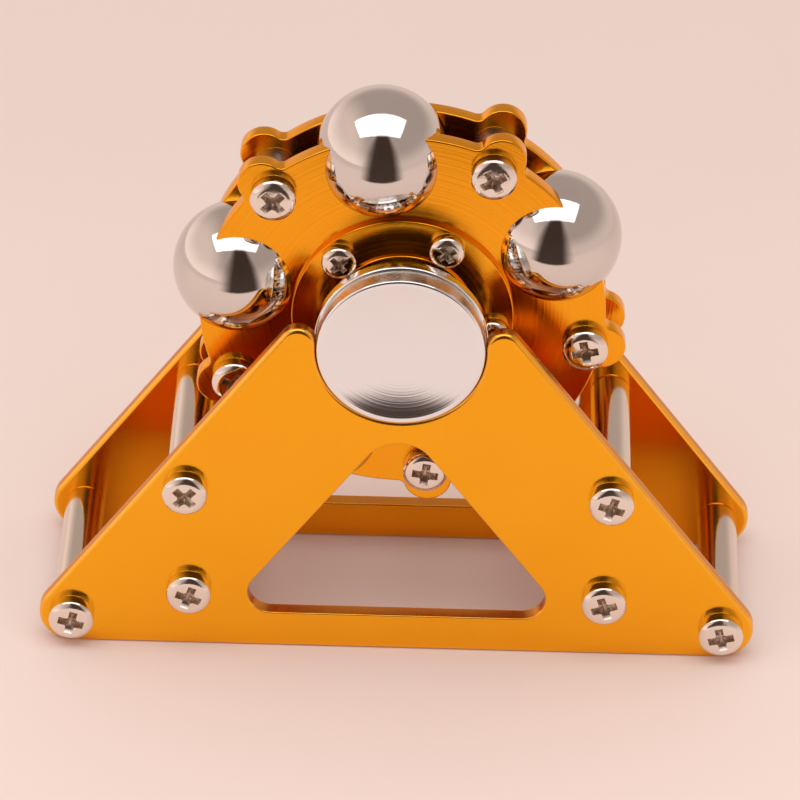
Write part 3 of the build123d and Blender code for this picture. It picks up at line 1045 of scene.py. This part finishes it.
    def spacer(self) -> Skin:
        """A round spacer with rounded end edges and a blind threaded hole in each end.

        Returns:
            The spacer's skin, about the z axis.
        """
        half = self.plate_inner
        end = [
            (0, half - self.bore_depth - self.bore_cone, 0),
            (self.bore_radius, half - self.bore_depth, 0),
            (self.bore_radius, half, 0),
            (self.spacer_radius, half, self.spacer_round),
        ]
        other = [(r, -z, radius) for r, z, radius in reversed(end)]
        skin = Skin()
        skin.lathe(rounded_profile(end + other)[::-1], columns=64)
        return skin

    def make(self, finishes: dict[str, bpy.types.Material]) -> list[bpy.types.Object]:
        """Build the stand and seat it on its body.

        Args:
            finishes: Materials by name.

        Returns:
            The new pieces.
        """
        # The third finish is the sheet painted deeper and redder, as painted shade on the inner faces.
        metals = [finishes["sheet"], finishes["edge"], finishes["inner"]]
        pieces = dress_pair(self.plate(), metals, "stand_plate_{}", "stand", "{}_plate")
        spacer, screw, screws = self.spacer(), self.screw.skin(), Skin()
        for (name, x, y), turn in zip(self.spacer_centres(), self.recess_turns):
            bar = spacer.moved(x, y).build(f"turned_{name}", [finishes["nickel"]])
            pieces.append(dress(bar, "stand", name))
            screws.join(screw.moved(x, y, self.plate_inner + self.plate_thickness, turn))
        metals = [finishes["screw"]]
        pieces += dress_pair(
            screws, metals, "stand_pan_screws_{}", "stand", "stand_screws_{}"
        )
        return pieces


# ---------------------------------------------------------------- axle
@dataclass
class Axle:
    """The two finger caps that lie in the stand's notches. Heights count from the wheel's middle plane."""

    face: float = 13.3
    spigot_radius: float = 10.1
    rim_width: float = 0.7
    dish_depth: float = 1.1
    edge_break: float = 0.28
    flange_radius: float = 10.45
    flange_outer: float = 10.85
    flange_inner: float = 9.05
    flange_break: float = 0.45
    neck_radius: float = 5.0
    neck_end: float = 3.88125
    stub_radius: float = 3.155
    stub_end: float = 0.15
    stub_break: float = 0.1
    bore_radius: float = 1.53
    bore_end: float = 5.5

    def cap(self) -> Skin:
        """The front cap as one turned profile.

        The dish is part of a sphere of radius R = (rim squared + depth squared) / (2 depth), where
        rim is the dish's own radius. At radius r it stands R - sqrt(R squared - r squared) above
        its middle.

        Returns:
            The cap's skin, with its round side worn.
        """
        rim = self.spigot_radius - self.rim_width
        bowl = (rim**2 + self.dish_depth**2) / (2 * self.dish_depth)
        # The last points lie close to the rim, which keeps its edge crisp.
        r = np.concatenate((np.linspace(0, rim - 0.05, 40), [rim - 0.015, rim]))
        z = self.face - self.dish_depth + bowl - np.sqrt(bowl**2 - r**2)
        body = rounded_profile(
            [
                (rim + 0.01, self.face, 0),
                (self.spigot_radius, self.face, self.edge_break),
                (self.spigot_radius, self.flange_outer, 0),
                (self.flange_radius, self.flange_outer, self.edge_break),
                (self.flange_radius, self.flange_inner, self.flange_break),
                (self.neck_radius, self.flange_inner, 0),
                (self.neck_radius, self.neck_end, self.stub_break),
                (self.stub_radius, self.neck_end, 0),
                (self.stub_radius, self.stub_end, self.stub_break),
                (self.bore_radius, self.stub_end, 0),
                (self.bore_radius, self.bore_end, 0),
                (0, self.bore_end, 0),
            ]
        )
        profile = np.vstack((np.column_stack((r, z)), body))
        on_spigot = np.abs(profile[:, 0] - self.spigot_radius) < 1e-6
        below_round = profile[:, 1] < self.face - self.edge_break - 0.01
        skin = Skin()
        skin.lathe(profile, columns=160, wear_and_shade=(on_spigot & below_round).astype(float))
        return skin

    def make(self, finishes: dict[str, bpy.types.Material]) -> list[bpy.types.Object]:
        """Build the caps and seat them on the axle's body.

        Args:
            finishes: Materials by name.

        Returns:
            The new pieces.
        """
        cap = self.cap().moved(y=AXIS_HEIGHT)
        return dress_pair(cap, [finishes["cap"]], "finger_cap_{}", "axle", "{}_cap")


# ---------------------------------------------------------------- wheel
@dataclass
class Wheel:
    """The wheel's plates, hub covers, posts, balls and screws, about the axis.

    Sizes are millimetres; inner, outer and the faces count from the wheel's middle plane.
    """

    count: int = 5  # of balls, and of lobes
    phase: float = 98.0  # angle of the first ball in degrees
    ball_radius: float = 7.9375
    ball_circle: float = 20.3
    seat_clearance: float = 0.02
    inner: float = 2.40125
    outer: float = 4.40125
    disc_radius: float = 24.5
    lobe_radius: float = 2.9
    lobe_fillet: float = 1.0
    edge_round: float = 0.2
    bore_radius: float = 5.7
    post_circle: float = 22.5
    post_radius: float = 2.5
    post_round: float = 0.12
    post_hole: float = 1.6
    post_bore: float = 1.53
    hub_circle: float = 11.1
    hub_hole: float = 1.1
    cover_radius: float = 13.4
    cover_face: float = 5.20125
    cover_round: float = 0.15
    boss_radius: float = 8.8
    boss_face: float = 5.60125
    cover_bore: float = 5.6
    recess_step: float = 37.0  # degrees by which each screw's cross is turned from the one before
    post_screw: PanScrew = POST_SCREW
    hub_screw: PanScrew = HUB_SCREW

    def ball_angles(self) -> np.ndarray:
        """Angles of the balls in degrees."""
        return self.phase + 360 / self.count * np.arange(self.count)

    def lobe_angles(self) -> np.ndarray:
        """Angles of the lobes in degrees, halfway between the balls."""
        return self.ball_angles() + 180 / self.count

    def place(self, reach: float, angle: float) -> tuple[float, float]:
        """Front-view x and y at a distance from the axis, in the direction of an angle in degrees."""
        return reach * cos(radians(angle)), AXIS_HEIGHT + reach * sin(radians(angle))

    def outline(self, inset: float, height: float) -> np.ndarray:
        """The plate's outline at one height of the wheel.

        Each fifth runs from the innermost point of one ball's seat, round the seat to its tip on
        the disc's edge, along the edge, round a fillet, over the lobe and back the same way. The
        seat is the ball's sphere cut at that height, so its radius is the square root of
        (seat radius squared - height squared), and its tip is where that circle meets the disc.

        Args:
            inset: Distance into the metal, for the disc's edge and the lobes.
            height: Distance from the wheel's middle plane.

        Returns:
            A closed loop of (n, 2) points, anticlockwise.
        """
        disc, lobe, fillet = self.disc_radius - inset, self.lobe_radius - inset, self.lobe_fillet + inset
        seat = sqrt((self.ball_radius + self.seat_clearance) ** 2 - height**2)
        half_pitch = 180 / self.count
        tip = acos((disc**2 + self.ball_circle**2 - seat**2) / (2 * disc * self.ball_circle))
        lean = degrees(atan2(disc * sin(tip), disc * cos(tip) - self.ball_circle))
        reach, middle = disc + fillet, self.disc_radius
        away = acos((reach**2 + middle**2 - (lobe + fillet) ** 2) / (2 * reach * middle))
        fillet_centre = (reach * cos(away), reach * sin(away))
        bend = degrees(atan2(fillet_centre[1], fillet_centre[0] - middle))
        ball = (self.ball_circle * cos(radians(half_pitch)), self.ball_circle * sin(radians(half_pitch)))
        # Half of one fifth, for the lobe at angle 0 and the ball at half_pitch.
        half = np.vstack(
            (
                arc((middle, 0), lobe, 0, bend, 14),
                arc(fillet_centre, fillet, bend - 180, degrees(away) - 180, 8),
                arc((0, 0), disc, degrees(away), half_pitch - degrees(tip), 10),
                arc(ball, seat, half_pitch - lean, half_pitch - 180, 26)[1:],
            )
        )
        fifth = np.vstack((half[::-1][:-1] * (1, -1), half))
        loops = []
        for angle in np.radians(self.lobe_angles()):
            spin = np.array([[cos(angle), sin(angle)], [-sin(angle), cos(angle)]])
            loops.append(fifth[1:] @ spin)
        return np.vstack(loops)

    def ring_holes(self, reach: float, radius: float) -> list[np.ndarray]:
        """Outlines of the round holes at the lobes' angles.

        Args:
            reach: Distance of their centres from the axis.
            radius: Radius of each.

        Returns:
            Closed loops.
        """
        angles = np.radians(self.lobe_angles())
        return [circle((reach * cos(a), reach * sin(a)), radius, HOLE_POINTS) for a in angles]

    def plate(self) -> Skin:
        """The front wheel plate with rounded edges, ball seats, bore and screw holes.

        Returns:
            The plate's skin.
        """
        edge = zip(*rounded_edge(self.outer, self.inner, self.edge_round, points=6))
        rings = np.stack([at_height(self.outline(inset, height), height) for inset, height in edge])
        skin = Skin()
        skin.wall(rings[:, ::-1])
        holes = self.ring_holes(self.post_circle, self.post_hole)
        holes += self.ring_holes(self.hub_circle, self.hub_hole)
        holes.append(circle((0, 0), self.bore_radius, BORE_POINTS))
        for hole in holes:
            skin.hole(hole, self.outer, self.inner)
        skin.flat([rings[0][:, :2], *holes], self.outer, upwards=True)
        skin.flat([rings[-1][:, :2], *holes], self.inner, upwards=False)
        return skin

    def cover(self) -> Skin:
        """The front hub cover: a thin disc with a low boss, a bore and screw holes.

        Returns:
            The cover's skin.
        """
        # The first point only gives the direction in which the face comes to the edge.
        edge = rounded_profile(
            [
                (0, self.cover_face, 0),
                (self.cover_radius, self.cover_face, self.cover_round),
                (self.cover_radius, self.outer, 0),
            ]
        )[1:]
        boss = rounded_profile(
            [
                (self.cover_bore, self.outer, 0),
                (self.cover_bore, self.boss_face, self.cover_round),
                (self.boss_radius, self.boss_face, self.cover_round),
                (self.boss_radius, self.cover_face, 0),
            ]
        )
        skin = Skin()
        skin.lathe(edge, columns=BORE_POINTS)
        skin.lathe(boss, columns=BORE_POINTS)
        holes = self.ring_holes(self.hub_circle, self.hub_hole)
        face = [circle((0, 0), radius, BORE_POINTS) for radius in (edge[0, 0], self.boss_radius)]
        back = [circle((0, 0), radius, BORE_POINTS) for radius in (self.cover_radius, self.cover_bore)]
        skin.flat([*face, *holes], self.cover_face, upwards=True)
        skin.flat([*back, *holes], self.outer, upwards=False)
        for hole in holes:
            skin.hole(hole, self.cover_face, self.outer)
        return skin

    def post(self) -> Skin:
        """A round post between the wheel plates, bored right through.

        Returns:
            The post's skin, about the z axis.
        """
        outline = [
            (self.post_bore, -self.inner, 0),
            (self.post_radius, -self.inner, self.post_round),
            (self.post_radius, self.inner, self.post_round),
            (self.post_bore, self.inner, 0),
            (self.post_bore, -self.inner, 0),
        ]
        skin = Skin()
        skin.lathe(rounded_profile(outline)[::-1], columns=48)
        return skin

    def ball(self) -> Skin:
        """A sphere as a grid, for a going round and b going from pole to pole.

        Its places are radius * (sin b cos a, sin b sin a, cos b).

        Returns:
            The ball's skin, about the origin.
        """
        b = np.linspace(0, pi, 65)
        skin = Skin()
        skin.lathe(np.column_stack((self.ball_radius * np.sin(b), self.ball_radius * np.cos(b))), columns=128)
        return skin

    def make(self, finishes: dict[str, bpy.types.Material]) -> list[bpy.types.Object]:
        """Build the wheel and seat it on its body.

        Args:
            finishes: Materials by name.

        Returns:
            The new pieces.
        """
        turned, nickel = [finishes["turned"]], [finishes["screw"]]
        plate, cover = self.plate().moved(y=AXIS_HEIGHT), self.cover().moved(y=AXIS_HEIGHT)
        pieces = dress_pair(plate, turned, "lobed_plate_{}", "wheel", "wheel_plate_{}")
        pieces += dress_pair(cover, turned, "hub_disc_{}", "wheel", "hub_cover_{}")
        ball, post = self.ball(), self.post()
        post_screw, hub_screw = self.post_screw.skin(), self.hub_screw.skin()
        post_screws, hub_screws = Skin(), Skin()
        for number, (ball_angle, lobe_angle) in enumerate(zip(self.ball_angles(), self.lobe_angles())):
            x, y = self.place(self.ball_circle, ball_angle)
            piece = ball.moved(x, y).build(f"steel_ball_{number + 1}", [finishes["ball"]])
            pieces.append(dress(piece, "wheel", f"weight_ball_{number + 1}"))
            turn = lobe_angle + self.recess_step * number
            x, y = self.place(self.post_circle, lobe_angle)
            piece = post.moved(x, y).build(f"round_post_{number + 1}", [finishes["steel"]])
            pieces.append(dress(piece, "wheel", f"wheel_post_{number + 1}"))
            post_screws.join(post_screw.moved(x, y, self.outer, turn))
            x, y = self.place(self.hub_circle, lobe_angle)
            hub_screws.join(hub_screw.moved(x, y, self.cover_face, turn))
        for screws, name in ((post_screws, "post_screws_{}"), (hub_screws, "hub_screws_{}")):
            pieces += dress_pair(screws, nickel, f"wheel_{name}", "wheel", name)
        return pieces


# ---------------------------------------------------------------- hidden pieces
@dataclass
class InnerWorks:
    """The pieces inside the hub, which keep their own solids and get a real finish."""

    finish_of: dict[str, str] = field(
        default_factory=lambda: {
            "cap_stud": "black",
            "spacer_ring_front": "steel",
            "spacer_ring_back": "steel",
            "hub_ring": "steel",
            "bearing_inner_ring": "bearing",
            "bearing_outer_ring": "bearing",
            "bearing_shield_front": "bearing",
            "bearing_shield_back": "bearing",
            "bearing_balls": "ball",
            "bearing_cage": "brass",
        }
    )

    def make(self, finishes: dict[str, bpy.types.Material]) -> list[bpy.types.Object]:
        """Dress the pieces.

        Args:
            finishes: Materials by name.

        Returns:
            The dressed pieces.
        """
        pieces = []
        for node, finish in self.finish_of.items():
            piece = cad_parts[node]
            for slot in piece.material_slots:
                slot.material = finishes[finish]
            pieces.append(piece)
        return pieces


# ---------------------------------------------------------------- studio
@dataclass
class Studio:
    """Floor, light and camera, as in the photograph: a pale pink-white table under a large soft lamp.

    Lengths are metres, but the camera's aim and offset are millimetres.
    """

    floor_colour: str = "#f1dad2"
    # The darker tone of the mottle, and of the painted shade behind the object.
    floor_mottle_and_shade: str = "#e5d0c9"
    floor_reach: float = 3.0
    backdrop_colour: str = "#e9d3c9"
    fade_from: float = 0.25
    fade_to: float = 0.7
    screen_colour: str = "#41332d"
    screen_foot: tuple[float, float, float] = (0.085, -0.1, 0.0)  # half width, y and z of its lower edge
    screen_head: tuple[float, float, float] = (0.1, -0.24, 0.46)  # and of its upper edge
    room_light: str = "#fff8ef"
    room_strength: float = 0.83  # of the light that falls on the object from all round
    ceiling_share: float = 0.62  # brightness of the mirrored ceiling, where the backdrop has 1
    left_glow: float = 0.5  # added to what polished metal mirrors from the left
    lamp_colour: str = "#f2f7ff"
    lamp_place: tuple[float, float, float] = (-0.08, -0.2, 0.8)
    lamp_size: tuple[float, float] = (1.2, 0.6)
    lamp_watts: float = 3.0
    lens_pixels: float = 5623.1  # focal length, in pixels of the photograph
    frame_pixels: float = 800.0
    yaw: float = -0.842
    pitch: float = 33.58
    roll: float = 1.028
    aim: tuple[float, float, float] = (0.0, 0.0, 22.0)
    offset: tuple[float, float, float] = (0.089, -5.236, 693.739)

    def camera(self) -> None:
        """The photograph's camera.

        The rows of the view matrix are right, up and forward; the camera stands where the aim
        point, seen from it, has the given offset along them.
        """
        y, e, r = radians(self.yaw), radians(self.pitch), radians(self.roll)
        turn = np.array([[cos(y), -sin(y), 0], [sin(y), cos(y), 0], [0, 0, 1]])
        tilt = np.array([[1, 0, 0], [0, sin(e), cos(e)], [0, cos(e), -sin(e)]])
        lean = np.array([[cos(r), sin(r), 0], [-sin(r), cos(r), 0], [0, 0, 1]])
        view = lean @ tilt @ turn
        place = (np.array(self.aim) - view.T @ np.array(self.offset)) * MM
        data = bpy.data.cameras.new("photo_camera")
        data.sensor_width = 36.0
        data.lens = self.lens_pixels / self.frame_pixels * data.sensor_width
        data.clip_start, data.clip_end = 0.01, 20.0
        camera = add_object("photo_camera", data)
        matrix = np.eye(4)
        matrix[:3, 0], matrix[:3, 1], matrix[:3, 2], matrix[:3, 3] = view[0], view[1], -view[2], place
        camera.matrix_world = Matrix(matrix.tolist())
        bpy.context.scene.camera = camera

    def sheet(
        self, name: str, places: list[tuple[float, float, float]], material: bpy.types.Material
    ) -> bpy.types.Object:
        """A flat four-cornered sheet of the studio.

        Args:
            name: Name of the object and its mesh.
            places: Its corners in metres, in order.
            material: Its material.

        Returns:
            The new object.
        """
        mesh = bpy.data.meshes.new(name)
        mesh.from_pydata(places, [], [(0, 1, 2, 3)])
        mesh.materials.append(material)
        return add_object(name, mesh)

    def floor(self) -> None:
        """A wide pale table top, matt with a faint mottle and painted darker behind the object as shade, that
        turns into the backdrop far away.

        Seen directly or in polished metal, the table's colour goes smoothly to the backdrop's between
        fade_from and fade_to from the middle, so that no horizon shows. Light still falls on it.
        """
        material = bpy.data.materials.new("pale_matt_card")
        tree = blank_tree(material)
        place = add_node(tree, "TexCoord").outputs["Object"]
        # The second tone gives a faint mottle and, behind the object, painted shade with an uneven border.
        mottle = add_node(tree, "TexNoise", {"Vector": place, "Scale": 18.0, "Detail": 3.0})
        parts = add_node(tree, "SeparateXYZ", {0: place})
        back = add_node(
            tree, "MapRange",
            {"Value": parts.outputs["Y"], "From Min": -0.06, "From Max": 0.14, "To Min": -0.2, "To Max": 0.8},
            interpolation_type="SMOOTHSTEP",
        )
        mottle_and_shade = add_node(
            tree, "Math", {0: mottle, 1: 0.4, 2: back}, operation="MULTIPLY_ADD", use_clamp=True
        )
        colour = add_node(
            tree, "Mix",
            {"Factor": mottle_and_shade, COLOUR_A: linear(self.floor_colour), COLOUR_B: linear(self.floor_mottle_and_shade)},
            data_type="RGBA",
        )
        card = add_node(
            tree, "BsdfPrincipled",
            {"Base Color": colour.outputs[COLOUR_OUT], "Roughness": 0.75, "Specular IOR Level": 0.2},
        )
        ray = add_node(tree, "LightPath").outputs
        seen = add_node(tree, "Math", {0: ray["Is Camera Ray"], 1: ray["Is Glossy Ray"]}, operation="MAXIMUM")
        away = add_node(tree, "VectorMath", {0: place}, operation="LENGTH").outputs["Value"]
        fade = add_node(
            tree, "MapRange", {"Value": away, "From Min": self.fade_from, "From Max": self.fade_to},
            interpolation_type="SMOOTHSTEP",
        )
        share = add_node(tree, "Math", {0: seen, 1: fade}, operation="MULTIPLY")
        glow = add_node(tree, "Emission", {"Color": linear(self.backdrop_colour)})
        mix = add_node(tree, "MixShader", {0: share, 1: card, 2: glow})
        add_node(tree, "OutputMaterial", {"Surface": mix})
        reach = self.floor_reach
        places = [(-reach, -reach, 0), (reach, -reach, 0), (reach, reach, 0), (-reach, reach, 0)]
        floor = self.sheet("table_top", places, material)
        floor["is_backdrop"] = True

    def lamp(self) -> None:
        """A rectangular soft lamp that faces straight down."""
        data = bpy.data.lights.new("soft_lamp_above", "AREA")
        data.shape = "RECTANGLE"
        data.size, data.size_y = self.lamp_size
        data.energy = self.lamp_watts
        data.color = linear(self.lamp_colour)[:3]
        add_object("soft_lamp_above", data).location = self.lamp_place

    def card(self) -> None:
        """The dark camera and stand in front of the object, as polished metal mirrors them.

        A leaning sheet that stands on the table 0.1 m in front of the object's middle and reaches
        0.46 m up. Only glossy rays meet it. It fades out towards its edges, so its mirror image has
        a soft border.
        """
        material = bpy.data.materials.new("dark_cloth")
        tree = blank_tree(material)
        # The chart runs from -1 to 1 across the sheet and from 0 to 1 up it.
        place = add_node(tree, "UVMap", uv_map="chart")
        parts = add_node(tree, "SeparateXYZ", {0: place}).outputs
        aside = add_node(tree, "Math", {0: parts["X"]}, operation="ABSOLUTE")
        # Near both sides, near the foot and near the head: from, to, and the darkness at each.
        fades = (
            (aside, 0.4, 1.0, 1.0, 0.0),
            (parts["Y"], 0.02, 0.037, 0.0, 0.97),
            (parts["Y"], 0.7, 1.0, 1.0, 0.0),
        )
        dark = None
        for value, start, end, low, high in fades:
            ramp = add_node(
                tree, "MapRange",
                {"Value": value, "From Min": start, "From Max": end, "To Min": low, "To Max": high},
                interpolation_type="SMOOTHSTEP",
            )
            dark = add_node(tree, "Math", {0: dark, 1: ramp}, operation="MULTIPLY") if dark else ramp
        clear = add_node(tree, "BsdfTransparent")
        cloth = add_node(tree, "BsdfDiffuse", {"Color": linear(self.screen_colour)})
        mix = add_node(tree, "MixShader", {0: dark, 1: clear, 2: cloth})
        add_node(tree, "OutputMaterial", {"Surface": mix})
        (foot, near, low), (head, far, high) = self.screen_foot, self.screen_head
        places = [(-foot, near, low), (foot, near, low), (head, far, high), (-head, far, high)]
        card = self.sheet("dark_card", places, material)
        chart = card.data.uv_layers.new(name="chart")
        chart.data.foreach_set("uv", [-1, 0, 1, 0, 1, 1, -1, 1])
        card.visible_camera = card.visible_diffuse = card.visible_shadow = card.visible_transmission = False
        card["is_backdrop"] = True

    def world(self) -> None:
        """The room: the backdrop for the camera, a dimmer one in polished metal, and soft light all round."""
        world = bpy.data.worlds.new("studio_room")
        bpy.context.scene.world = world
        tree = blank_tree(world)
        ray = add_node(tree, "LightPath").outputs
        seen = add_node(
            tree, "Math", {0: ray["Is Camera Ray"], 1: ray["Is Transmission Ray"]}, operation="MAXIMUM"
        )
        # Polished metal mirrors the room: pale backdrop, dimmer above it, and more light from the left.
        towards = add_node(tree, "TexCoord").outputs["Generated"]
        parts = add_node(tree, "SeparateXYZ", {0: towards}).outputs
        dim, glow = self.ceiling_share, self.left_glow
        ceiling = add_node(
            tree, "MapRange",
            {"Value": parts["Z"], "From Min": 0.0, "From Max": 0.45, "To Min": 1.0, "To Max": dim},
            interpolation_type="SMOOTHSTEP",
        )
        left = add_node(
            tree, "MapRange",
            {"Value": parts["X"], "From Min": -0.3, "From Max": -0.8, "To Min": 0.0, "To Max": glow},
            interpolation_type="SMOOTHSTEP",
        )
        room = add_node(tree, "Math", {0: ceiling, 1: left}, operation="ADD")
        bright = add_node(tree, "Mix", {"Factor": seen, VALUE_A: room, VALUE_B: 1.0}, data_type="FLOAT")
        around = add_node(tree, "Math", {0: ray["Is Glossy Ray"], 1: seen}, operation="MAXIMUM")
        strength = add_node(
            tree, "Mix", {"Factor": around, VALUE_A: self.room_strength, VALUE_B: bright}, data_type="FLOAT"
        )
        colour = add_node(
            tree, "Mix",
            {"Factor": around, COLOUR_A: linear(self.room_light), COLOUR_B: linear(self.backdrop_colour)},
            data_type="RGBA",
        )
        background = add_node(tree, "Background", {"Color": colour.outputs[COLOUR_OUT], "Strength": strength})
        add_node(tree, "OutputWorld", {"Surface": background})

    def make(self) -> None:
        """Set up the floor, the dark sheet, the lamp, the room and the camera."""
        self.floor()
        self.card()
        self.lamp()
        self.world()
        self.camera()
        bpy.context.scene.view_settings.view_transform = "Standard"


def corners(bounds: object) -> list[list[float]]:
    """Bounds as plain lists of numbers."""
    return [[float(value) for value in corner] for corner in bounds]


def main() -> None:
    logging.basicConfig(level=logging.INFO, format="%(name)s: %(message)s")
    cad_box = corners(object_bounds())
    named = {
        "sheet": ANODISED_SHEET,
        # inner: the sheet painted deeper and redder, as painted shade between the stand's plates.
        "inner": ANODISED_INNER_SHADED,
        "edge": ANODISED_EDGE,
        "turned": ANODISED_TURNED,
        "nickel": POLISHED_NICKEL,
        "screw": NICKEL_SCREW,
        "cap": TURNED_CAP,
        "ball": LAPPED_STEEL,
        "steel": TURNED_STEEL,
        "bearing": BEARING_STEEL,
        "black": BLACK_OXIDE,
        "brass": MACHINED_BRASS,
    }
    finishes = {name: finish.material() for name, finish in named.items()}
    for assembly in (Stand(), Axle(), Wheel(), InnerWorks()):
        pieces = assembly.make(finishes)
        LOG.info("%s: %d pieces", type(assembly).__name__, len(pieces))
    Studio().make()
    {"cad": cad_box, "visual": corners(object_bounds())}


if __name__ == "__main__":
    main()
